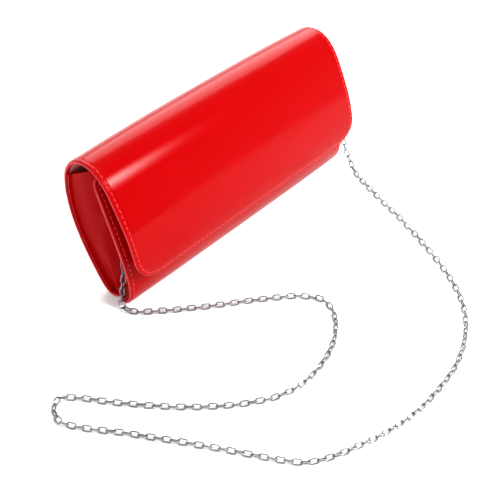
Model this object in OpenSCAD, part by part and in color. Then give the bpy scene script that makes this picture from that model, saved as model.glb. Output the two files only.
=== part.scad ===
// Flap-over evening clutch with a loose chain strap.
// X runs along the purse, the flap faces -Y and Z is up; the purse stands on z = 0.
// Sides are drawn in the (y, z) plane and stretched along X.

/* [Purse] */
// Length of the purse from end to end
purse_l = 250; // [220:1:270]
// Thickness of the outer patent sheet
skin_t = 1.2; // [0.8:0.1:1.2]
// Thickness of the stiffener boards
board_t = 1.4; // [1.0:0.1:1.4]
// Thickness of the lining cloth
lining_t = 0.7; // [0.4:0.1:0.7]
// How far the middle of the front panel swells past its ends
front_swell = 10; // [6:1:10]

/* [Flap] */
// Radius of the flap's two lower corners
flap_corner_r = 22; // [15:1:28]
// Inset of the boards from the sheet's edges
board_inset = 5; // [3:1:8]

/* [Gussets] */
// Depth that the end gussets fold inwards
gusset_fold = 26; // [20:1:30]

/* [Snap] */
// Radius of the magnetic snap's two halves
snap_r = 7; // [6:0.5:8]
// Height of the snap above the floor
snap_z = 60; // [58:1:62]

/* [Chain hardware] */
// Wire radius of the D-rings
ring_wire_r = 0.8; // [0.6:0.1:0.8]
// Width of the leather tabs
tab_w = 7; // [6:1:7]
// Outer width of the chain's links
chain_d = 5; // [4:0.5:5]

/* [Hidden] */
half_l = purse_l / 2;
layer_gap = 0.09;
board_in = skin_t + layer_gap;
board_out = board_in + board_t;
lining_in = board_out + layer_gap;
wall_t = lining_in + lining_t;
patent = "red";
cloth = "darkred";
steel = "silver";

// ---- outlines, as (y, z) points of the outer face ----
base_front_y = -8;
shell_points = [
  [2, 0], [8, 3.5], [14, 11], [22, 24], [30.5, 41], [37, 61], [39.2, 82], [37.5, 98],
  [34.5, 107], [28.5, 116], [20.5, 122], [12, 125], [3.5, 125], [-4, 122], [-10, 117],
  [-15.5, 110], [-21, 100], [-26, 90], [-31, 79], [-35, 67], [-38, 54], [-39, 45],
  [-38.5, 36.5]
];
hinge_at = 8;
front_points = [
  [-14, 0], [-19.5, 3.2], [-24, 9.5], [-26.3, 17], [-26.8, 27], [-25, 38], [-21.5, 50],
  [-15.5, 68], [-9.5, 85], [-3.5, 102], [1.5, 117]
];
steps = 2;

// Point at t between b and c on a smooth curve through a, b, c and d
function blend4(a, b, c, d, t) = (2 * b + (c - a) * t + (2 * a - 5 * b + 4 * c - d) * t * t
  + (3 * b - a - 3 * c + d) * t * t * t) / 2;
// Smooth curve through a list of points, with counts[i] steps in stretch i
function curve(p, counts) = concat([
  for (i = [0:len(p) - 2]) for (k = [0:counts[i] - 1])
    blend4(p[max(i - 1, 0)], p[i], p[i + 1], p[min(i + 2, len(p) - 1)], k / counts[i])
], [p[len(p) - 1]]);
function even(p, n) = curve(p, [for (i = p) n]);
function slice(p, a, b) = [for (i = [a:b]) p[i]];
// Direction of travel at point i
function along(p, i) = let (v = p[min(i + 1, len(p) - 1)] - p[max(i - 1, 0)]) v / norm(v);
// Points moved d to the left of travel, or to the right where side is -1
function inset(p, d, side) = [
  for (i = [0:len(p) - 1]) let (t = along(p, i)) p[i] + side * d * [-t[1], t[0]]
];
function backwards(p) = [for (i = [len(p) - 1:-1:0]) p[i]];

// Points with point i drawn apart into two, a gap apart
function parted(p, i, gap) = concat(slice(p, 0, i - 1),
  [for (side = [-1, 1]) p[i] + side * gap / 2 * along(p, i)], slice(p, i + 1, len(p) - 1));

fold_gap = 0.9;
hinge_index = 2 + hinge_at * steps;
shell_path = parted(concat([[base_front_y, 0], [-3, 0]], even(shell_points, steps)),
  hinge_index, fold_gap);
shell_end = len(shell_path) - 1;
front_path = concat([[base_front_y - 0.4, 0]], even(front_points, steps));
front_end = len(front_path) - 1;

// A layer of the back or flap between depths a and b, from point i to point j of the shell
module shell_layer(i, j, a, b, length) {
  outer = slice(inset(shell_path, a, 1), i, j);
  inner = slice(inset(shell_path, b, 1), i, j);
  translate([-length / 2, 0, 0])
    rotate([90, 0, 90])
      linear_extrude(length)
        polygon(concat(outer, backwards(inner)));
}

// ---- front panel: a sheet that swells between its ends ----
station_shares = [0.2, 0.4, 0.56, 0.7, 0.82, 0.92];
swell_power = 1.5;
swell_top = 125;
// How far across the panel the swell reaches, straight between the stations
swell_across = [for (u = concat([0], station_shares, [1])) [u * half_l, 1 - pow(u, 3)]];
function swell(x, z) = front_swell * lookup(abs(x), swell_across)
  * pow(max(sin(180 * min(z, swell_top) / swell_top), 0), swell_power);
function front_row(x, d, i, j) =
  let (swelled = [for (p = front_path) [p[0] - swell(x, p[1]), p[1]]])
  [for (p = slice(inset(swelled, d, -1), i, j)) [x, p[0], p[1]]];
// A layer of the front panel between depths a and b, inset from both ends
module front_layer(i, j, a, b, end_inset) {
  reach = half_l - end_inset;
  right = concat([for (u = station_shares) u * half_l], [reach]);
  xs = concat(-1 * backwards(right), [0], right);
  rows = [for (x = xs) concat(front_row(x, a, i, j), backwards(front_row(x, b, i, j)))];
  skin_between(rows);
}
// Closed solid through a list of rings with the same number of points
module skin_between(rings) {
  n = len(rings[0]);
  last = len(rings) - 1;
  points = [for (ring = rings) for (p = ring) p];
  sides = [
    for (r = [0:last - 1]) for (k = [0:n - 1])
      let (a = r * n + k, b = r * n + (k + 1) % n, c = a + n, d = b + n)
      for (tri = k < n / 2 ? [[a, c, b], [b, c, d]] : [[a, c, d], [a, d, b]]) tri
  ];
  strips = n / 2 - 1;
  near = [for (k = [0:strips - 1])
    for (tri = [[k, k + 1, n - 1 - k], [k + 1, n - 2 - k, n - 1 - k]]) tri];
  far = [for (tri = near) [for (v = [2:-1:0]) last * n + tri[v]]];
  polyhedron(points = points, faces = concat(sides, near, far));
}

module back_panel() {
  color(patent) shell_layer(0, hinge_index, 0, skin_t, purse_l);
}
module back_board() {
  color("tan") shell_layer(4, hinge_index - 2, board_in, board_out, purse_l - 2 * board_inset);
}
module back_lining() {
  color(cloth) shell_layer(0, hinge_index - 1, lining_in, wall_t, purse_l - 6);
}
module base_board() {
  color("tan")
    translate([-half_l + board_inset, -13, board_in])
      cube([purse_l - 2 * board_inset, 14, board_t]);
}
pocket_gap = 0.5;
pocket_l = 130;
module slip_pocket() {
  color(cloth)
    shell_layer(8, hinge_index - 4, wall_t + pocket_gap, wall_t + pocket_gap + lining_t, pocket_l);
}
module front_panel() {
  color(patent) difference() {
    front_layer(0, front_end, 0, skin_t, 0);
    at_snap(-4) cylinder(r = post_hole_r, h = 8, $fn = 32);
  }
}
module front_board() {
  color("tan") difference() {
    front_layer(5, front_end - 1, board_in, board_out, board_inset);
    at_snap(-8) cylinder(r = snap_r + 1, h = 8, $fn = 64);
  }
}
module front_lining() {
  color(cloth) front_layer(0, front_end, lining_in, wall_t, 3);
}

// ---- gussets: sheets that fold inwards between the front and back panels ----
gusset_levels = [5, 14, 26, 40, 56, 74, 90, 104];
gusset_t = 1.4;
seam_gap = 0.3;
front_face = backwards([for (p = inset(front_path, wall_t, -1)) [p[1], p[0]]]);
back_face = [for (p = slice(inset(shell_path, wall_t, 1), 2, hinge_index)) [p[1], p[0]]];
function front_y(z) = lookup(z, front_face) + seam_gap;
function back_y(z) = lookup(z, back_face) - seam_gap;
function fold_at(z) = gusset_fold * (0.45 + 0.55 * min(z / 50, 1));
function gusset_ring(z) = let (
    f = front_y(z), b = back_y(z), m = (f + b) / 2, x = half_l - 1.5,
    v = half_l - fold_at(z), knee = half_l - 0.82 * fold_at(z), t = gusset_t,
    hug = min(1, (b - f) / 30)
  ) [
    [-x, f + 0.3 + t, z], [-knee, f + 0.3 + t + 0.8 * hug, z], [-v, m, z], [-x, b, z],
    [-x + 1.5 * t, b, z], [-v + 1.5 * t, m, z], [-knee + 0.5 * t, f + 0.3 + 0.6 * hug, z],
    [-x, f + 0.3, z]
  ];
module left_gusset() {
  color(cloth) skin_between([for (z = gusset_levels) gusset_ring(z)]);
}
module right_gusset() {
  mirror([1, 0, 0]) left_gusset();
}

// ---- flap ----
module corner_cut() {
  hem_z = shell_points[len(shell_points) - 1][1] - 1;
  for (side = [-1, 1])
    translate([side * (half_l - flap_corner_r), -10, hem_z + flap_corner_r])
      rotate([90, 0, 0])
        difference() {
          translate([side > 0 ? 0 : -flap_corner_r - 5, -flap_corner_r - 5, 0])
            cube([flap_corner_r + 5, flap_corner_r + 5, 40]);
          translate([0, 0, -1]) cylinder(r = flap_corner_r, h = 42, $fn = 96);
        }
}
module flap_layer(j, a, b, length) {
  difference() {
    shell_layer(hinge_index + 1, j, a, b, length);
    corner_cut();
  }
}
module flap_skin() {
  color(patent) flap_layer(shell_end, 0, skin_t, purse_l);
}
module flap_board() {
  color("tan") difference() {
    shell_layer(hinge_index + 3, shell_end - 5, board_in, board_out, purse_l - 2 * board_inset);
    at_snap(0) cylinder(r = snap_r + 1, h = 14, $fn = 64);
  }
}
module flap_lining() {
  color(cloth) difference() {
    flap_layer(shell_end, lining_in, wall_t, purse_l - 1);
    at_snap(0) cylinder(r = post_hole_r, h = 14, $fn = 32);
  }
}

// ---- magnetic snap, drawn about its own axis with the flap towards +z ----
snap_tilt = 16;
snap_y = -28.6;
post_r = 1.5;
post_hole_r = 1.7;
socket_h = 2.4;
recess_r = 3.8;
recess_h = 1.0;
stud_h = 1.1;
stud_gap = 0.35;
washer_h = 0.8;
socket_post_h = 3.0;
stud_post_h = 3.65;
washer_set = 0.08;
stud_at = socket_h + stud_gap;
module at_snap(h) {
  translate([0, snap_y, snap_z]) rotate([90 - snap_tilt, 0, 0]) translate([0, 0, h]) children();
}
module snap_socket() {
  color(steel) at_snap(0) {
    difference() {
      cylinder(r = snap_r, h = socket_h, $fn = 64);
      translate([0, 0, socket_h - recess_h]) cylinder(r = recess_r, h = 2, $fn = 48);
      translate([0, 0, -0.5]) difference() {
        cylinder(r = snap_r - 0.6, h = socket_h - recess_h + 0.1, $fn = 64);
        translate([0, 0, -1]) cylinder(r = 2.4, h = 5, $fn = 48);
      }
    }
    translate([0, 0, -socket_post_h]) cylinder(r = post_r, h = socket_post_h + 0.1, $fn = 32);
  }
}
module snap_magnet() {
  color("dimgray") at_snap(0.02) difference() {
    cylinder(r = snap_r - 0.65, h = 0.9, $fn = 64);
    translate([0, 0, -1]) cylinder(r = 2.45, h = 4, $fn = 48);
  }
}
module washer() {
  difference() {
    cylinder(r = snap_r - 2, h = washer_h, $fn = 64);
    translate([0, 0, -1]) cylinder(r = post_r + 0.02, h = 4, $fn = 32);
  }
}
module socket_washer() {
  color(steel) at_snap(washer_set - socket_post_h) washer();
}
module snap_stud() {
  color(steel) at_snap(stud_at) {
    difference() {
      cylinder(r = snap_r, h = stud_h, $fn = 64);
      translate([0, 0, stud_h - 0.3]) cylinder(r = snap_r - 1.2, h = 1, $fn = 64);
    }
    cylinder(r = post_r, h = stud_post_h, $fn = 32);
    translate([0, 0, -0.7]) cylinder(r = 2.8, h = 0.8, $fn = 48);
  }
}
module stud_washer() {
  color(steel) at_snap(stud_at + stud_post_h - washer_h - washer_set) washer();
}

// ---- chain hardware, drawn hanging from a D-ring's bar at the origin ----
hang_x = 110;
hang_y = 3.0;
hang_z = 90;
hang_lean = 12;
ring_half_w = 4.5;
ring_leg = 4.5;
hook_z = -10;
hook_r = 2.8;
hook_wire = 1.6;
clasp_w = 2.6;
base_top = -16.5;
base_bottom = -21.5;
pivot_y = 2.9;
pivot_z = -18.6;
pin_r = 0.5;
lever_w = 0.8;
slot_w = 1.8;
eye_z = -24;
eye_r = 1.5;
eye_wire = 1.4;
jump_r = 3.0;
jump_wire_r = 0.6;
jump_z = eye_z - 0.45 - jump_r;
module hang(side) {
  translate([side * hang_x, hang_y, hang_z]) rotate([-hang_lean, 0, 0]) children();
}
module tab(side) {
  bend_r = ring_wire_r + 0.1;
  tab_t = 1.2;
  color(patent) hang(side) {
    rotate([0, 90, 0]) difference() {
      cylinder(r = bend_r + tab_t, h = tab_w, center = true, $fn = 48);
      cylinder(r = bend_r, h = tab_w + 1, center = true, $fn = 48);
      translate([-5, 0, 0]) cube([10, 2 * bend_r, tab_w + 1], center = true);
    }
    for (y = [-bend_r - tab_t, bend_r])
      translate([-tab_w / 2, y, 0]) cube([tab_w, tab_t, 9.4]);
    translate([-tab_w / 2, -bend_r - 0.1, 4]) cube([tab_w, 2 * bend_r + 0.2, 5.4]);
    translate([-tab_w / 2, -bend_r - tab_t - 0.6, 6]) cube([tab_w, 0.7, 3.4]);
  }
}
module d_ring(side) {
  color(steel) hang(side) {
    rotate([0, 90, 0])
      cylinder(r = ring_wire_r, h = 2 * ring_half_w, center = true, $fn = 24);
    for (x = [-ring_half_w, ring_half_w]) translate([x, 0, 0]) {
      sphere(r = ring_wire_r, $fn = 24);
      translate([0, 0, -ring_leg]) cylinder(r = ring_wire_r, h = ring_leg, $fn = 24);
    }
    translate([0, 0, -ring_leg]) rotate([90, 0, 0]) rotate([0, 0, 180])
      rotate_extrude(angle = 180, $fn = 64)
        translate([ring_half_w, 0]) circle(r = ring_wire_r, $fn = 24);
  }
}
// Flat outline of the clasp, in its own (y, z) plane, extruded across x
module across(w) {
  rotate([90, 0, 90]) linear_extrude(w, center = true) children();
}
module clasp(side) {
  outer_r = hook_r + hook_wire;
  color(steel) hang(side) difference() {
    union() {
      across(clasp_w) {
        difference() {
          translate([0, hook_z]) circle(r = outer_r, $fn = 64);
          translate([0, hook_z]) circle(r = hook_r, $fn = 64);
          translate([-outer_r - 1, hook_z - outer_r - 1]) square([2 * outer_r + 2, outer_r + 1]);
        }
        translate([-outer_r, base_top - 0.5]) square([hook_wire, hook_z - base_top + 0.6]);
        translate([-outer_r, base_bottom]) square([2 * outer_r, base_top - base_bottom]);
        difference() {
          translate([0, eye_z]) circle(r = eye_r + eye_wire, $fn = 48);
          translate([0, eye_z]) circle(r = eye_r, $fn = 48);
        }
      }
    }
    translate([-slot_w / 2, 0.6, base_bottom + 0.9]) cube([slot_w, outer_r + 1, 8]);
    translate([0, pivot_y, pivot_z]) rotate([0, 90, 0])
      cylinder(r = pin_r, h = clasp_w + 2, center = true, $fn = 24);
  }
}
module lever(side) {
  bar_y = hook_r + hook_wire / 2;
  color(steel) hang(side) difference() {
    across(lever_w) {
      translate([pivot_y, pivot_z]) circle(r = 1.2, $fn = 32);
      translate([bar_y - 0.7, pivot_z]) square([1.4, hook_z - 0.4 - pivot_z]);
    }
    translate([0, pivot_y, pivot_z]) rotate([0, 90, 0])
      cylinder(r = pin_r + 0.05, h = clasp_w + 2, center = true, $fn = 24);
  }
}
module lever_pin(side) {
  color(steel) hang(side) translate([0, pivot_y, pivot_z]) rotate([0, 90, 0])
    cylinder(r = pin_r, h = clasp_w, center = true, $fn = 24);
}
module lever_spring(side) {
  color("gray") hang(side) translate([lever_w / 2 + 0.3, pivot_y, pivot_z]) rotate([0, 90, 0])
    difference() {
      cylinder(r = 0.95, h = 0.18, $fn = 24);
      translate([0, 0, -1]) cylinder(r = 0.62, h = 3, $fn = 24);
    }
}
module jump_ring(side) {
  color(steel) hang(side) translate([0, 0, jump_z]) rotate([90, 0, 0])
    rotate_extrude($fn = 48) translate([jump_r, 0]) circle(r = jump_wire_r, $fn = 16);
}

// ---- chain strap: from one jump ring, out along the floor and back to the other ----
strap_z = 2.6;
strap_points = [
  [-110, -4.5, 57.8], [-115, -9.5, 42], [-121, -14, 26], [-125, -15, 13], [-128.5, -18, 4],
  [-127, -26, strap_z], [-120, -35, strap_z], [-92, -59, strap_z], [-39, -99, strap_z],
  [-22, -116, strap_z], [-17, -130, strap_z], [-27, -147, strap_z], [-48, -161, strap_z],
  [-78, -168, strap_z], [-106, -164, strap_z], [-135, -146, strap_z], [-164, -118, strap_z],
  [-191, -84, strap_z], [-207, -61, strap_z], [-217, -52, strap_z], [-227, -60, strap_z],
  [-225, -76, strap_z], [-200, -113, strap_z], [-169, -162, strap_z], [-146, -200, strap_z],
  [-132, -216, strap_z], [-104, -229, strap_z], [-60, -241, strap_z], [-10, -240, strap_z],
  [25, -229, strap_z], [54, -208, strap_z], [76, -175, strap_z], [98, -122, strap_z],
  [114, -71, strap_z], [123, -47, 3], [129, -32, 11], [129, -22, 28], [120, -10, 45],
  [110, -4.5, 57.8]
];
ring_pitch = 14.5;
strap_sides = 8;
function unit(v) = v / norm(v);
// Side directions carried along a path without twisting
function carried(dirs, i, s) = i == len(dirs) ? [] :
  let (u = unit(s - (s * dirs[i]) * dirs[i])) concat([u], carried(dirs, i + 1, u));
module chain_strap() {
  counts = [for (i = [0:len(strap_points) - 2])
    max(1, round(norm(strap_points[i + 1] - strap_points[i]) / ring_pitch))];
  path = curve(strap_points, counts);
  dirs = [for (i = [0:len(path) - 1]) along(path, i)];
  sides = carried(dirs, 0, [1, 0, 0]);
  rings = [for (i = [0:len(path) - 1]) let (s = sides[i], u = cross(dirs[i], s)) [
    for (k = [0:strap_sides - 1]) let (a = 360 * k / strap_sides)
      path[i] + chain_d / 2 * (cos(a) * s + sin(a) * u)
  ]];
  color("gainsboro") skin_between(rings);
}

back_panel();
base_board();
back_board();
back_lining();
slip_pocket();
front_panel();
front_board();
front_lining();
left_gusset();
right_gusset();
flap_skin();
flap_board();
flap_lining();
snap_socket();
snap_magnet();
socket_washer();
snap_stud();
stud_washer();
tab(-1);  // left_tab
d_ring(-1);  // left_d_ring
clasp(-1);  // left_clasp
lever(-1);  // left_lever
lever_pin(-1);  // left_lever_pin
lever_spring(-1);  // left_lever_spring
jump_ring(-1);  // left_jump_ring
tab(1);  // right_tab
d_ring(1);  // right_d_ring
clasp(1);  // right_clasp
lever(1);  // right_lever
lever_pin(1);  // right_lever_pin
lever_spring(1);  // right_lever_spring
jump_ring(1);  // right_jump_ring
chain_strap();
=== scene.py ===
"""Looks of a flap-over evening clutch in red patent leather with a silver link chain.

Lengths are in millimetres until a mesh is made, where they turn into metres.
The room, its lights and its camera are in metres.
"""

import math
import random

import bmesh
import bpy
import numpy as np
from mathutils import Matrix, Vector


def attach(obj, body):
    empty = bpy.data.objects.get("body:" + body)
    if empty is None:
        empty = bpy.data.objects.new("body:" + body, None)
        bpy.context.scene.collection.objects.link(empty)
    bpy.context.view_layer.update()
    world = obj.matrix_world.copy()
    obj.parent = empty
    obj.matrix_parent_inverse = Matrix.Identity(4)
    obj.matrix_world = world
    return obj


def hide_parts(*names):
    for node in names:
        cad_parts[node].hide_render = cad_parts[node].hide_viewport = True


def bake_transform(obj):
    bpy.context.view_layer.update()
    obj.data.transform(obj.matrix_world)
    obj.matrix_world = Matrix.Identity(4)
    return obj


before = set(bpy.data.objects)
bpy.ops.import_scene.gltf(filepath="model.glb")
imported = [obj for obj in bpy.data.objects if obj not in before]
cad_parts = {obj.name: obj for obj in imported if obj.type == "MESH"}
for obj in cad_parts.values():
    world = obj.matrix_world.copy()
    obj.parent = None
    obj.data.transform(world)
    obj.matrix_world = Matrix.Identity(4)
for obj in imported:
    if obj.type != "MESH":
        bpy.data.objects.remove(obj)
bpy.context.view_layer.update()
MM = 0.001

# ---------------------------------------------------------------- the purse's own sizes
SIDES = ((-1, "left"), (1, "right"))
PURSE_L = 250
PURSE_H = 125
HALF_L = PURSE_L / 2
SKIN_T = 2.9
LINING_T = 0.5
WALL_T = SKIN_T + LINING_T

# Side outlines as (y, z): the shell from under the base to the flap's hem, and the front panel.
SHELL = [
    (-8, 0), (-3, 0), (2, 0), (8, 3.5), (14, 11), (22, 24), (30.5, 41), (37, 61), (39.2, 82),
    (37.5, 98), (34.5, 107), (28.5, 116), (20.5, 122), (12, 125), (3.5, 125), (-4, 122), (-10, 117),
    (-15.5, 110), (-21, 100), (-26, 90), (-31, 79), (-35, 67), (-38, 54), (-39, 45),
    (-38.5, 36.5),
]  # fmt: skip
FRONT = [
    (-8.4, 0), (-14, 0), (-19.5, 3.2), (-24, 9.5), (-26.3, 17), (-26.8, 27), (-25, 38), (-21.5, 50),
    (-15.5, 68), (-9.5, 85), (-3.5, 102), (1.5, 117),
]  # fmt: skip
HINGE = (34.5, 107)
BASE_CORNER_R = 6.5
FLAP_CORNER_R = 22
FRONT_CORNER_R = 9

# The most that the front panel swells and that the shell bulges. The bulge starts at
# CROWN_START along the shell, and takes CROWN_RUN to rise and again to fall.
FRONT_SWELL = 10
CROWN = 2.2
CROWN_START = 60
CROWN_RUN = 90

# The pressed groove beside a sheet's edge, as (inset, drop). The stitches lie in it.
GROOVE = ((2.0, 0.0), (2.6, 0.1), (3.2, 0.28), (3.8, 0.1), (4.5, 0.0), (5.5, 0.0))
STITCH_IN = 3.2
STITCH_START = 12
STITCH_SUNK = 0.26
STITCH_PITCH = 4.6
STITCH_L = 3.1
STITCH_SIDES = 6
# A stitch's rings, as (share of its length from the middle, height, radius).
STITCH_RINGS = (
    (-0.5, -0.3, 0.16), (-0.42, 0.06, 0.28), (0, 0.16, 0.34), (0.42, 0.06, 0.28),
    (0.5, -0.3, 0.16),
)  # fmt: skip

LINING_IN = 3
LINING_START = 14
LINING_DEPTH = SKIN_T - 0.05
CLOTH_T = 0.6
CLOTH_CORNER_R = 3
CLOTH_CORNERS = (CLOTH_CORNER_R, CLOTH_CORNER_R)
POCKET_HALF_L = 65
POCKET_LOW = (19, 19)
POCKET_HIGH = (39, 84)
BASE_LINING_IN = 5
BASE_LINING_Y = (-13, 2)
BASE_LINING_Z = 3.3

GUSSET_T = 1.1
GUSSET_FOLD = 26
GUSSET_LOW = 3.6
GUSSET_TOP = 102

# The bar of a D-ring, which hangs in the loop of its leather tab.
HANG_X, HANG_Y, HANG_Z = 110, 3, 90
HANG_LEAN = math.radians(12)
TAB_T = 1.15
TAB_HALF_L = 3.5
TAB_CORNER_R = 1.6
TAB_SIDE = [
    (-2.1, 9.2), (-2.1, 5), (-2.1, 0.2), (-1.5, -1.5), (0, -2.1), (1.5, -1.5), (2.1, 0.2),
    (2.1, 5), (2.1, 9.2),
]  # fmt: skip

CHAIN_D = 5.0
LINK_L = 8.0
LINK_WIRE_R = 0.6
LINK_PITCH = 5.6
LINK_TURN = 45
LINK_TWIST = 7
FLOOR_LIFT = 2.1
CHAIN = [
    (-110, -4.5, 57.8), (-115, -9.5, 42), (-121, -14, 26), (-125, -15, 13), (-128.5, -18, 4),
    (-127, -26, FLOOR_LIFT), (-120, -35, FLOOR_LIFT), (-92, -59, FLOOR_LIFT),
    (-39, -99, FLOOR_LIFT), (-22, -116, FLOOR_LIFT), (-17, -130, FLOOR_LIFT),
    (-27, -147, FLOOR_LIFT), (-48, -161, FLOOR_LIFT), (-78, -168, FLOOR_LIFT),
    (-106, -164, FLOOR_LIFT), (-135, -146, FLOOR_LIFT), (-164, -118, FLOOR_LIFT),
    (-191, -84, FLOOR_LIFT), (-207, -61, FLOOR_LIFT), (-217, -52, FLOOR_LIFT),
    (-227, -60, FLOOR_LIFT), (-225, -76, FLOOR_LIFT), (-200, -113, FLOOR_LIFT),
    (-169, -162, FLOOR_LIFT), (-146, -200, FLOOR_LIFT), (-132, -216, FLOOR_LIFT),
    (-104, -229, FLOOR_LIFT), (-60, -241, FLOOR_LIFT), (-10, -240, FLOOR_LIFT),
    (25, -229, FLOOR_LIFT), (54, -208, FLOOR_LIFT), (76, -175, FLOOR_LIFT),
    (98, -122, FLOOR_LIFT), (114, -71, FLOOR_LIFT), (123, -47, 2.4), (129, -32, 11),
    (129, -22, 28), (120, -10, 45), (110, -4.5, 57.8),
]  # fmt: skip

# ---------------------------------------------------------------- the room, in metres
SKY = 0.7
FLOOR_SIZE = 12
FLOOR_DROP = 0.0002
SENSOR_W = 36
LENS = 64.9
CAMERA_AT = (-0.4025, -0.41125, 0.5192)
LOOKS_AT = (-0.0139, -0.0454, 0)


# ---------------------------------------------------------------- camera
camera = bpy.data.objects.new("camera", bpy.data.cameras.new("camera"))
bpy.context.scene.collection.objects.link(camera)
camera.data.sensor_width = SENSOR_W
camera.data.lens = LENS
camera.location = CAMERA_AT
aim = Vector(LOOKS_AT) - camera.location
camera.rotation_mode = "QUATERNION"
camera.rotation_quaternion = aim.to_track_quat("-Z", "Y")
bpy.context.scene.camera = camera


# ---------------------------------------------------------------- finishes
class Shade:
    """A value in a finish. Plain signs combine it with numbers and other values."""

    def __init__(self, finish, socket):
        self.finish, self.socket = finish, socket

    def join(self, sign, a, b):
        return self.finish.node("ShaderNodeMath", {"operation": sign}, {0: a, 1: b})

    def __add__(self, other):
        return self.join("ADD", self, other)

    def __radd__(self, other):
        return self.join("ADD", other, self)

    def __sub__(self, other):
        return self.join("SUBTRACT", self, other)

    def __rsub__(self, other):
        return self.join("SUBTRACT", other, self)

    def __mul__(self, other):
        return self.join("MULTIPLY", self, other)

    def __rmul__(self, other):
        return self.join("MULTIPLY", other, self)

    def __rpow__(self, other):
        return self.join("POWER", other, self)


class Finish:
    """A procedural material built on the standard surface."""

    def __init__(self, name, **values):
        self.material = bpy.data.materials.new(name)
        self.material.use_nodes = True
        self.tree = self.material.node_tree
        self.surface = self.tree.nodes["Principled BSDF"]
        self.set({k.replace("_", " "): v for k, v in values.items()})

    def put(self, node, values):
        for key, value in values.items():
            socket = node.inputs[key]
            if isinstance(value, Shade):
                self.tree.links.new(value.socket, socket)
            elif socket.type == "RGBA":
                socket.default_value = (*value, 1)
            else:
                socket.default_value = value

    def set(self, values):
        self.put(self.surface, values)

    def node(self, kind, settings=None, values=None, output=0):
        made = self.tree.nodes.new(kind)
        for key, value in (settings or {}).items():
            setattr(made, key, value)
        self.put(made, values or {})
        return Shade(self, made.outputs[output])

    def spot(self, output="Object"):
        return self.node("ShaderNodeTexCoord", output=output)

    def cloudy(self, scale, detail=2.0, at=None):
        where = at or self.spot()
        return self.node(
            "ShaderNodeTexNoise", {}, {"Vector": where, "Scale": scale, "Detail": detail}
        )

    def mixed(self, share, a, b):
        return self.node(
            "ShaderNodeMix", {"data_type": "RGBA"}, {0: share, 6: a, 7: b}, output=2
        )

    def bumped(self, height, strength, distance):
        return self.node(
            "ShaderNodeBump",
            {},
            {"Height": height, "Strength": strength, "Distance": distance},
        )


def patent_finish(name, bright, deep, coat, ripple, edge=None):
    """Patent leather: a saturated film on a rippled sheet. edge is a painted highlight: a lighter
    colour laid on its turned edge, where the rim would catch the light.
    """
    made = Finish(name, Roughness=0.3, Coat_Roughness=0.03, Coat_IOR=1.5)
    made.set({"Specular IOR Level": 0.05, "Specular Tint": (1, 0.0, 0.03)})
    broad = made.cloudy(18, 2)
    fine = made.cloudy(420, 3)
    tone = made.mixed(broad, bright, deep)
    # edge paints a lighter colour on the turned edge: a painted highlight along the rim.
    if edge:
        turned = made.node("ShaderNodeAttribute", {"attribute_name": "turned"}, output="Fac")
        tone = made.mixed(turned, tone, edge)
    made.set({"Base Color": tone})
    made.set({"Roughness": 0.24 + 0.1 * fine})
    made.set({"Coat Weight": coat - 0.06 * fine})
    made.set({"Normal": made.bumped(fine * 0.05 + broad * ripple, 0.5, 0.001)})
    return made.material


def darkened(colour, share):
    return tuple(share * c for c in colour)


def metal_finish(name, colour, roughness):
    """Plated metal with fine wear."""
    made = Finish(name, Metallic=1.0, Roughness=roughness)
    worn = made.cloudy(900, 4)
    broad = made.cloudy(60, 2)
    darker = darkened(colour, 0.72)
    made.set({"Base Color": made.mixed(broad, darker, colour)})
    made.set({"Roughness": roughness * 0.7 + worn * roughness * 0.8})
    made.set({"Normal": made.bumped(worn, 0.12, 0.0001)})
    return made.material


def cloth_finish(name, bright, deep):
    """Satin lining, woven from threads a millimetre apart."""
    made = Finish(name, Roughness=0.55)
    made.set({"Sheen Weight": 0.3, "Specular IOR Level": 0.4})
    flat = made.spot("UV")
    threads = {"Vector": flat, "Scale": 320.0}
    across = made.node("ShaderNodeTexWave", {"bands_direction": "X"}, threads)
    down = made.node("ShaderNodeTexWave", {"bands_direction": "Y"}, threads)
    slub = made.cloudy(500, 3)
    weave = across * 0.4 + down * 0.4 + slub * 0.3
    made.set({"Base Color": made.mixed(weave, deep, bright)})
    made.set({"Roughness": 0.4 + 0.3 * weave})
    made.set({"Normal": made.bumped(weave, 0.4, 0.0002)})
    return made.material


def thread_finish(name, colour):
    """Sewing thread, with the slanting lines of its twist."""
    made = Finish(name, Roughness=0.45)
    twist = made.node(
        "ShaderNodeTexWave",
        {"bands_direction": "DIAGONAL"},
        {"Vector": made.spot(), "Scale": 900.0, "Distortion": 1.5},
    )
    darker = darkened(colour, 0.7)
    made.set({"Base Color": made.mixed(twist, darker, colour)})
    made.set({"Normal": made.bumped(twist, 0.4, 0.0002)})
    return made.material


# The red patent's lighter edge colour is a painted highlight along its turned edges.
PATENT = patent_finish("red_patent", (0.33, 0.0, 0.001), (0.3, 0.0, 0.0), coat=0.11,
                       ripple=0.02, edge=(0.8, 0.05, 0.06))  # fmt: skip
GUSSET = patent_finish("gusset_patent", (0.42, 0.0, 0.001), (0.36, 0.0, 0.001), coat=0.14,
                       ripple=0.15)  # fmt: skip
LINING = cloth_finish("lining_satin", (0.52, 0.006, 0.012), (0.34, 0.002, 0.005))
THREAD = thread_finish("red_thread", (0.78, 0.02, 0.03))
SILVER = metal_finish("silver_plate", (0.78, 0.78, 0.79), 0.16)
CHAIN_SILVER = metal_finish("chain_silver", (0.24, 0.24, 0.25), 0.2)
MAGNET = metal_finish("magnet_dark", (0.12, 0.12, 0.13), 0.45)


# ---------------------------------------------------------------- lines and meshes
def travelled(line):
    """How far along a line each of its points lies."""
    return np.concatenate([[0], np.cumsum(np.linalg.norm(np.diff(line, axis=0), axis=1))])


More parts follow.
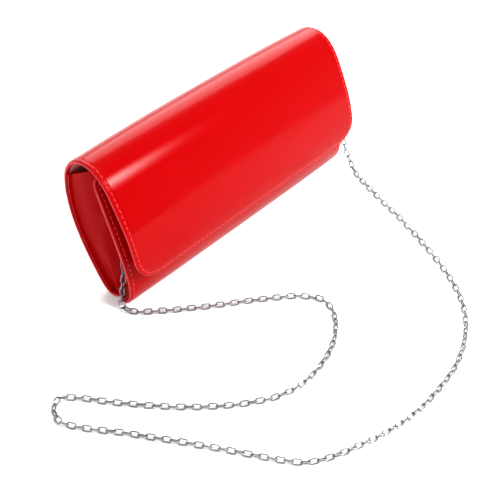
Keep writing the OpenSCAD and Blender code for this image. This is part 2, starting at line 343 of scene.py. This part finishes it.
def smooth_line(points, step, parts=20):
    """Points at even steps along a smooth curve through the given ones."""
    p = [np.array(q, float) for q in points]
    p = [2 * p[0] - p[1]] + p + [2 * p[-1] - p[-2]]
    fine = []
    for a, b, c, d in zip(p, p[1:], p[2:], p[3:]):
        for k in range(parts):
            t = k / parts
            fine.append(
                b
                + 0.5 * t * (c - a)
                + 0.5 * t**2 * (2 * a - 5 * b + 4 * c - d)
                + 0.5 * t**3 * (3 * b - a - 3 * c + d)
            )
    fine = np.array(fine + [p[-2]])
    run = travelled(fine)
    at = np.linspace(0, run[-1], max(2, round(run[-1] / step)) + 1)
    return np.stack([np.interp(at, run, fine[:, k]) for k in range(fine.shape[1])], 1)


class Side:
    """A side outline in the (y, z) plane, which a sheet follows."""

    def __init__(self, points, inward):
        self.line = smooth_line(points, 0.5)
        self.run = travelled(self.line)
        self.length = float(self.run[-1])
        travel = np.gradient(self.line, axis=0)
        travel /= np.linalg.norm(travel, axis=1)[:, None]
        self.inner = inward * np.stack([-travel[:, 1], travel[:, 0]], 1)

    def at(self, s, depth):
        """The (y, z) of a point s along the outline and some depth inside it."""
        on = [np.interp(s, self.run, self.line[:, k]) for k in range(2)]
        inner = [np.interp(s, self.run, self.inner[:, k]) for k in range(2)]
        return float(on[0] + depth * inner[0]), float(on[1] + depth * inner[1])

    def nearest(self, y, z):
        """How far along the outline a point lies."""
        gap = np.linalg.norm(self.line - np.array([y, z]), axis=1)
        return float(self.run[int(gap.argmin())])


def soft_step(t):
    """Rises smoothly from 0 to 1 while t does."""
    t = min(1.0, max(0.0, t))
    return t * t * (3 - 2 * t)


shell_side = Side(SHELL, 1)
front_side = Side(FRONT, -1)
hinge_s = shell_side.nearest(*HINGE)


def shell_at(x, s, depth):
    """A point of the shell: the sheet that is base, back and flap. Its middle bulges a little."""
    across = 1 - abs(x / HALF_L) ** 2.5
    rise = soft_step((s - CROWN_START) / CROWN_RUN)
    rise *= soft_step((shell_side.length - s) / CROWN_RUN)
    y, z = shell_side.at(s, depth - CROWN * across * rise)
    return x, y, z


def swell(x, z):
    """How far the front panel stands out: most in its middle, nothing at its ends and foot."""
    share = max(0.0, math.sin(math.pi * min(z, PURSE_H) / PURSE_H)) ** 1.5
    return FRONT_SWELL * (1 - abs(x / HALF_L) ** 3) * share


def front_at(x, s, depth):
    y, z = front_side.at(s, depth)
    return x, y - swell(x, z), z


def mesh_piece(name, points, faces, material, uvs=None, weld=None, turned=None):
    """An object from points in millimetres. turned says how far each point is round an edge."""
    mesh = bpy.data.meshes.new(name)
    mesh.from_pydata([[c * MM for c in p] for p in points], [], faces)
    if turned:
        mesh.attributes.new("turned", "FLOAT", "POINT").data.foreach_set("value", turned)
    if uvs:
        layer = mesh.uv_layers.new(name="flat")
        for loop in mesh.loops:
            layer.data[loop.index].uv = [c * MM for c in uvs[loop.vertex_index]]
    made = bmesh.new()
    made.from_mesh(mesh)
    if weld:
        bmesh.ops.remove_doubles(made, verts=made.verts, dist=weld * MM)
    bmesh.ops.recalc_face_normals(made, faces=made.faces)
    made.to_mesh(mesh)
    made.free()
    for face in mesh.polygons:
        face.use_smooth = True
    mesh.materials.append(material)
    piece = bpy.data.objects.new(name, mesh)
    bpy.context.scene.collection.objects.link(piece)
    return piece


def soften(piece, name, width, sharp):
    """Round a piece's edges that are sharper than an angle in degrees."""
    edge = piece.modifiers.new(name, "BEVEL")
    edge.width = width * MM
    edge.segments = 2
    edge.limit_method = "ANGLE"
    edge.angle_limit = math.radians(sharp)


def edge_rings(thickness, grooved, parts=5):
    """How a sheet's two faces run out to its rounded edge, as (inset, outer drop, inner drop)."""
    r = thickness / 2
    rings = []
    for k in range(parts + 1):
        turn = math.radians(90 * k / parts)
        drop = r * (1 - math.sin(turn))
        rings.append((r * (1 - math.cos(turn)), drop, drop))
    if grooved:
        rings += [(inset, drop, 0.0) for inset, drop in GROOVE]
    else:
        rings.append((r + 0.3, 0.0, 0.0))
    return rings


def outline(half_l, start, end, corners, row_step, start_parts=12, end_parts=16):
    """Rows up a sheet's sides, for edge_point: (half length, corner radius, s, way, turn)."""
    rows = []
    corner_start, corner_end = corners
    for k in range(start_parts + 1):
        turn = math.radians(90 - 90 * k / start_parts)
        rows.append((half_l, corner_start, start, -1, turn))
    low, high = start + corner_start, end - corner_end
    count = max(1, round((high - low) / row_step))
    for k in range(1, count):
        rows.append((half_l, 0, low + (high - low) * k / count, 0, 0))
    for k in range(end_parts + 1):
        rows.append((half_l, corner_end, end, 1, math.radians(90 * k / end_parts)))
    return rows


def edge_point(row, inset):
    """The (x, s) of a row's end, an inset inside the sheet's edge."""
    half_l, r, s, way, turn = row
    if way == 0:
        return half_l - inset, s
    reach = r - inset
    return half_l - r + reach * math.cos(turn), s - way * r + way * reach * math.sin(turn)


def sheet_piece(name, place, half_l, start, end, corners, depth, thickness, material,
                grooved=False, columns=56, row_step=2.6):  # fmt: skip
    """A closed sheet with rounded edges and corners. place puts (x, s, depth) in the frame."""
    rings = edge_rings(thickness, grooved)
    rows = outline(half_l, start, end, corners, row_step)
    points, uvs, turned, faces = [], [], [], []

    def add(x, s, d):
        points.append(place(x, s, d))
        uvs.append((x, s))
        # turned marks the rounded edge, where patent finishes lay their painted edge highlight.
        turned.append(soft_step(1.6 * abs(min(d - depth, depth + thickness - d)) / thickness))
        return len(points) - 1

    def across(reach, s, d, first, last):
        spots = [-reach + 2 * reach * k / columns for k in range(first, last)]
        return [add(x, s, d) for x in spots]

    def lay(grid):
        for upper, lower in zip(grid, grid[1:]):
            faces.extend(zip(upper, upper[1:], lower[1:], lower))

    for outer in (True, False):
        def level(ring):
            drop = ring[1] if outer else ring[2]
            return depth + drop if outer else depth + thickness - drop

        grid = []
        for row in rows:
            line = [(edge_point(row, ring[0]), level(ring)) for ring in rings]
            (reach, s), flat = line[-1]
            left = [add(-p[0], p[1], d) for p, d in line]
            middle = across(reach, s, flat, 1, columns)
            right = [add(p[0], p[1], d) for p, d in reversed(line)]
            grid.append(left + middle + right)
        lay(grid)
        for row in (rows[0], rows[-1]):
            hem = []
            for ring in rings:
                reach, s = edge_point(row, ring[0])
                hem.append(across(reach, s, level(ring), 0, columns + 1))
            lay(hem)
    return mesh_piece(name, points, faces, material, uvs, weld=0.002, turned=turned)


def border(half_l, start, end, corners, inset):
    """A line inside a sheet's edge: up the left side, along its end and down the right."""
    rows = outline(half_l, start, end, corners, 2.0)
    right = [edge_point(row, inset) for row in rows]
    return [(-x, s) for x, s in right] + right[::-1]


def stitch_row(name, place, line, sunk, lift_way=-1.0, pitch=STITCH_PITCH, length=STITCH_L):
    """Thread stitches along a line of (x, s) on a sheet, each a rod that dips at both ends."""
    spots = np.array([place(x, s, sunk) for x, s in line])
    raised = np.array([place(x, s, sunk + lift_way) for x, s in line])
    keep = np.concatenate([[True], np.linalg.norm(np.diff(spots, axis=0), axis=1) > 1e-6])
    spots, raised = spots[keep], raised[keep]
    run = travelled(spots)

    def along(table, d):
        return np.array([np.interp(d, run, table[:, k]) for k in range(3)])

    points, faces = [], []
    sides = STITCH_SIDES
    tip = (len(STITCH_RINGS) - 1) * sides
    count = int(run[-1] // pitch)
    for n in range(count):
        middle = (n + 0.5) * run[-1] / count
        first = len(points)
        for step, high, wide in STITCH_RINGS:
            d = middle + step * length
            at = along(spots, d)
            up = along(raised, d) - at
            up /= np.linalg.norm(up)
            ahead = along(spots, min(run[-1], d + 0.3)) - along(spots, max(0, d - 0.3))
            ahead /= np.linalg.norm(ahead)
            aside = np.cross(ahead, up)
            for k in range(sides):
                a = math.radians(360 * k / sides)
                points.append(at + up * (high + wide * math.sin(a)) + aside * wide * math.cos(a))
        for low in range(first, first + tip, sides):
            for k in range(sides):
                a, b = low + k, low + (k + 1) % sides
                faces.append((a, b, b + sides, a + sides))
        for low in (first, first + tip):
            faces.append(tuple(low + k for k in range(sides)))
    return mesh_piece(name, points, faces, THREAD)


def bends(piece, slot_name, *nodes):
    """The piece runs over the flap's fold. Its place is baked into its mesh, and the frame's parts
    it replaces are hidden.
    """
    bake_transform(piece)
    if nodes:
        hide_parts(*nodes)


shell_corners = (BASE_CORNER_R, FLAP_CORNER_R)
shell = sheet_piece("shell", shell_at, HALF_L, 0, shell_side.length, shell_corners, 0, SKIN_T,
                    PATENT, grooved=True)  # fmt: skip
bends(shell, "patent_leather", "back_panel", "back_board", "flap_skin", "flap_board")

shell_border = border(HALF_L, STITCH_START, shell_side.length, shell_corners, STITCH_IN)
shell_thread = stitch_row("shell_stitches", shell_at, shell_border, STITCH_SUNK)
bends(shell_thread, "patent_leather")

back_lining = sheet_piece("shell_lining", shell_at, HALF_L - LINING_IN, LINING_START,
                          shell_side.length - LINING_IN,
                          (CLOTH_CORNER_R, FLAP_CORNER_R - LINING_IN), LINING_DEPTH, LINING_T,
                          LINING)  # fmt: skip
bends(back_lining, "lining_cloth", "back_lining", "flap_lining")


# ---------------------------------------------------------------- front panel
def stays(piece, slot_name, *nodes):
    """The piece keeps its shape and its place on the body."""
    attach(piece, "body")
    if nodes:
        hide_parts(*nodes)


front_corners = (BASE_CORNER_R, FRONT_CORNER_R)
front = sheet_piece("front_sheet", front_at, HALF_L, 0, front_side.length, front_corners, 0,
                    SKIN_T, PATENT, grooved=True)  # fmt: skip
stays(front, "patent_leather", "front_panel", "front_board")

front_border = border(HALF_L, STITCH_START, front_side.length, front_corners, STITCH_IN)
front_thread = stitch_row("front_stitches", front_at, front_border, STITCH_SUNK)
stays(front_thread, "patent_leather")

front_lining = sheet_piece("front_sheet_lining", front_at, HALF_L - LINING_IN, LINING_START,
                           front_side.length - LINING_IN,
                           (CLOTH_CORNER_R, FRONT_CORNER_R - LINING_IN), LINING_DEPTH,
                           LINING_T, LINING)  # fmt: skip
stays(front_lining, "lining_cloth", "front_lining")


# ---------------------------------------------------------------- slip pocket and base
def pocket_at(x, s, depth):
    """The pocket stands off the back's lining a little, most at its mouth."""
    off = 0.3 + 1.2 * soft_step((s - 60) / 50) * (1 - abs(x / POCKET_HALF_L) ** 2)
    return shell_at(x, s, WALL_T + off + depth)


def base_at(x, s, depth):
    """The base's lining is flat, and its s is the frame's y."""
    return x, s, BASE_LINING_Z - depth


pocket_low = shell_side.nearest(*POCKET_LOW)
pocket_high = shell_side.nearest(*POCKET_HIGH)
pocket = sheet_piece("slip_pocket_cloth", pocket_at, POCKET_HALF_L, pocket_low, pocket_high,
                     CLOTH_CORNERS, 0, CLOTH_T, LINING, columns=40)  # fmt: skip
stays(pocket, "lining_cloth", "slip_pocket")

pocket_border = border(POCKET_HALF_L, pocket_low, pocket_high, CLOTH_CORNERS, 2)
pocket_thread = stitch_row("pocket_stitches", pocket_at, pocket_border, CLOTH_T, lift_way=1.0,
                           pitch=3.2, length=2.2)  # fmt: skip
stays(pocket_thread, "lining_cloth")

base_lining = sheet_piece("base_lining", base_at, HALF_L - BASE_LINING_IN, *BASE_LINING_Y,
                          CLOTH_CORNERS, 0, CLOTH_T, LINING)  # fmt: skip
stays(base_lining, "lining_cloth", "base_board")


# ---------------------------------------------------------------- gussets
def inside_wall(side, end):
    """The inner face of a wall, as matching lists of y and z."""
    return zip(*[side.at(s, WALL_T) for s in np.arange(0, end, 0.5)])


front_y, front_z = inside_wall(front_side, front_side.length)
back_y, back_z = inside_wall(shell_side, hinge_s)


def gusset_line(z):
    """The folded gusset seen from above at a height, from the front panel round to the back."""
    depth = GUSSET_FOLD * (0.45 + 0.55 * min(z / 50, 1))
    near = np.interp(z, front_z, front_y)
    far = np.interp(z, back_z, back_y)
    middle = (near + far) / 2
    hug = min(1.0, max(0.0, (far - near) / 30))

    def by_front(x):
        return near - swell(x, z) + 0.7

    valley = HALF_L - depth
    return smooth_line(
        [
            (124.0, by_front(124)),
            (120.5, by_front(120.5)),
            (117, by_front(117)),
            (HALF_L - 0.82 * depth, by_front(HALF_L - 0.82 * depth) + 1.2 * hug),
            (valley, middle - 2 * hug),
            (valley + 0.8, middle + 3 * hug),
            (HALF_L - 0.5 * depth, middle + 0.55 * (far - middle)),
            (118, far - 2.5 * hug - 0.7),
            (120.8, far - 1.1),
            (124.0, far - 0.8),
        ],
        1.2,
    )


def gusset_piece(name, side, columns=64, rows=60):
    """One end's gusset, from the folded line at each height. side is -1 at the left end."""
    points, faces, uvs = [], [], []
    for z in [GUSSET_LOW + (GUSSET_TOP - GUSSET_LOW) * k / rows for k in range(rows + 1)]:
        line = gusset_line(z)
        at = np.linspace(0, len(line) - 1, columns)
        xs = np.interp(at, range(len(line)), line[:, 0])
        ys = np.interp(at, range(len(line)), line[:, 1])
        for k in range(columns):
            points.append((side * xs[k], ys[k], z))
            uvs.append((k, z))
    for row in range(rows):
        for k in range(columns - 1):
            a = row * columns + k
            faces.append((a, a + 1, a + 1 + columns, a + columns))
    piece = mesh_piece(name, points, faces, GUSSET, uvs)
    thick = piece.modifiers.new("thickness", "SOLIDIFY")
    thick.thickness = GUSSET_T * MM
    thick.offset = 0
    soften(piece, "soft_edge", 0.35, 50)
    return piece


for side, word in SIDES:
    stays(gusset_piece(word + "_gusset_fold", side), "gusset_leather", word + "_gusset")


# ---------------------------------------------------------------- leather tabs
def hang_at(side, x, y, z):
    """A point given from a D-ring's bar, which leans with the front panel."""
    c, s = math.cos(HANG_LEAN), math.sin(HANG_LEAN)
    return side * HANG_X + x, HANG_Y + y * c + z * s, HANG_Z - y * s + z * c


tab_side = Side(TAB_SIDE, 1)
seam_s = tab_side.length - 3
for side, word in SIDES:
    def tab_at(x, s, depth, side=side):
        return hang_at(side, x, *tab_side.at(s, depth))

    tab = sheet_piece(word + "_tab_loop", tab_at, TAB_HALF_L, 0, tab_side.length,
                      (TAB_CORNER_R, TAB_CORNER_R), 0, TAB_T, PATENT, columns=10,
                      row_step=0.8)  # fmt: skip
    stays(tab, "patent_leather", word + "_tab")
    tab_thread = stitch_row(word + "_tab_stitches", tab_at, [(-2.6, seam_s), (2.6, seam_s)], 0.0,
                            pitch=2.2, length=1.6)  # fmt: skip
    stays(tab_thread, "patent_leather")


# ---------------------------------------------------------------- metal pieces
# What no piece replaces keeps the frame's own shape.
for name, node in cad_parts.items():
    if node.hide_render:
        continue
    metal = MAGNET if name == "snap_magnet" else SILVER
    node.data.materials.clear()
    node.data.materials.append(metal)
    if name.endswith(("clasp", "lever")) or name.startswith(("snap", "stud", "socket")):
        soften(node, "worn_edge", 0.18, 40)


# ---------------------------------------------------------------- chain
def add_link(points, faces, centre, lead, wide, flat, around=22, sides=8):
    """An oval link of round wire. lead runs along it, wide across it and flat out of its plane."""
    straight = (LINK_L - CHAIN_D) / 2
    bend_r = CHAIN_D / 2 - LINK_WIRE_R
    first = len(points)
    for k in range(around):
        a = 2 * math.pi * k / around
        shift = straight if math.cos(a) > 0 else -straight
        ring_mid = centre + lead * (math.cos(a) * bend_r + shift) + wide * math.sin(a) * bend_r
        out = lead * math.cos(a) + wide * math.sin(a)
        for j in range(sides):
            b = 2 * math.pi * j / sides
            wire = out * LINK_WIRE_R * math.cos(b), flat * LINK_WIRE_R * math.sin(b)
            points.append(ring_mid + wire[0] + wire[1])
    for k in range(around):
        here, there = first + k * sides, first + (k + 1) % around * sides
        for j in range(sides):
            after = (j + 1) % sides
            faces.append((here + j, here + after, there + after, there + j))


def chain_piece():
    """The chain strap: oval links, each turned a quarter from the last, but none quite evenly."""
    random.seed(7)
    line = smooth_line(CHAIN, 0.4)
    run = travelled(line)
    count = round(run[-1] / LINK_PITCH)
    pitch = run[-1] / count

    def at(d):
        return Vector([float(np.interp(d, run, line[:, k])) for k in range(3)])

    def way(start, end):
        return (at(min(run[-1], end)) - at(max(0, start))).normalized()

    points, faces = [], []
    for n in range(count):
        middle = (n + 0.5) * pitch
        ahead = way(middle - pitch / 2, middle + pitch / 2)
        sharp = (way(middle, middle + 2 * pitch) - way(middle - 2 * pitch, middle)).length
        up = Vector((0, 0, 1)) if abs(ahead.z) < 0.75 else Vector((0, -0.6, 0.8))
        aside = ahead.cross(up).normalized()
        up = aside.cross(ahead)
        turn = math.radians(LINK_TURN if n % 2 else -LINK_TURN)
        turn += math.radians(random.uniform(-LINK_TWIST, LINK_TWIST) * (1 + 3 * sharp))
        wide = aside * math.cos(turn) + up * math.sin(turn)
        flat = ahead.cross(wide)
        centre = at(middle) + aside * random.uniform(-0.12, 0.12)
        lead = ahead + aside * random.uniform(-0.05, 0.05)
        lead.normalize()
        add_link(points, faces, centre, lead, wide, flat)
    return mesh_piece("chain", points, faces, CHAIN_SILVER), run[-1] * MM, line


chain, chain_l, chain_line = chain_piece()
stays(chain, "chain_metal", "chain_strap")


# ---------------------------------------------------------------- floor, lights and air
def floor_finish():
    """A plain pale floor, barely cloudy."""
    made = Finish("pale_floor", Roughness=0.9)
    grain = made.cloudy(90, 3)
    made.set({"Base Color": made.mixed(grain, (0.93, 0.93, 0.93), (0.95, 0.95, 0.95))})
    made.set({"Specular IOR Level": 0.1})
    return made.material


bpy.ops.mesh.primitive_plane_add(size=FLOOR_SIZE, location=(0, 0, -FLOOR_DROP))
floor = bpy.context.object
floor.name = "floor"
floor.data.materials.append(floor_finish())


def direction(turn, rise):
    """A compass turn from the front and a rise above level, in degrees, as a direction."""
    a, e = math.radians(turn), math.radians(rise)
    return Vector((math.sin(a) * math.cos(e), -math.cos(a) * math.cos(e), math.sin(e)))


def hang_up(name, data, place, away):
    """Stage a lamp or a card at a place. It faces back along away, towards the purse."""
    hung = bpy.data.objects.new(name, data)
    hung.location = place
    hung.rotation_mode = "QUATERNION"
    hung.rotation_quaternion = away.to_track_quat("Z", "Y")
    bpy.context.scene.collection.objects.link(hung)


def soft_light(name, towards, distance, turn, rise, wide, high, glow):
    """A flat lamp of a given size and brightness, at a distance from what it lights."""
    away = direction(turn, rise)
    lamp = bpy.data.lights.new(name, "AREA")
    lamp.shape = "RECTANGLE"
    lamp.size, lamp.size_y = wide, high
    lamp.energy = glow * math.pi * wide * high
    hang_up(name, lamp, Vector(towards) + away * distance, away)


def glow_card(name, towards, distance, turn, rise, shift, glow, fades, half):
    """A white card lit from a spot in its middle, fading to the sky's own level at its rim."""
    away = direction(turn, rise)
    across = Vector((0, 0, 1)).cross(away).normalized()
    up = away.cross(across)
    made = Finish(name, Emission_Strength=glow)
    made.set({"Base Color": (0, 0, 0), "Specular IOR Level": 0.0})
    shares = (1 / fades[0], 1 / fades[1], 0)
    spot = {0: made.spot(), 1: shares}
    spread = made.node("ShaderNodeVectorMath", {"operation": "MULTIPLY"}, spot)
    far = made.node("ShaderNodeVectorMath", {"operation": "LENGTH"}, {0: spread}, output="Value")
    lit = math.e ** (-1 * far * far)
    rim = (SKY / glow,) * 3
    made.set({"Emission Color": made.mixed(lit, rim, (1, 1, 1))})
    mesh = bpy.data.meshes.new(name)
    corners = [(-half, -half, 0), (half, -half, 0), (half, half, 0), (-half, half, 0)]
    mesh.from_pydata(corners, [], [(0, 1, 2, 3)])
    mesh.materials.append(made.material)
    place = Vector(towards) + away * distance + across * shift[0] + up * shift[1]
    hang_up(name, mesh, place, away)


fold_left = (-0.116, -0.011, 0.117)
purse_middle = (0, 0, 0.06)
soft_light("overhead", (0, -0.1, 0), 2.6, turn=0, rise=89.9, wide=1.8, high=1.8, glow=1.7)
soft_light("fill", purse_middle, 2.2, turn=-60, rise=38, wide=1.0, high=1.0, glow=1.0)
soft_light("behind", purse_middle, 1.8, turn=138, rise=32, wide=1.5, high=1.3, glow=8.0)
glow_card("key_card", fold_left, 1.3, turn=33, rise=28, shift=(-0.12, 0.2), glow=105,
          fades=(0.15, 0.16), half=0.4)  # fmt: skip

air = bpy.data.worlds.new("air")
air.use_nodes = True
air.node_tree.nodes["Background"].inputs["Color"].default_value = (1, 1, 1, 1)
air.node_tree.nodes["Background"].inputs["Strength"].default_value = SKY
bpy.context.scene.world = air
bpy.context.scene.view_settings.view_transform = "Standard"
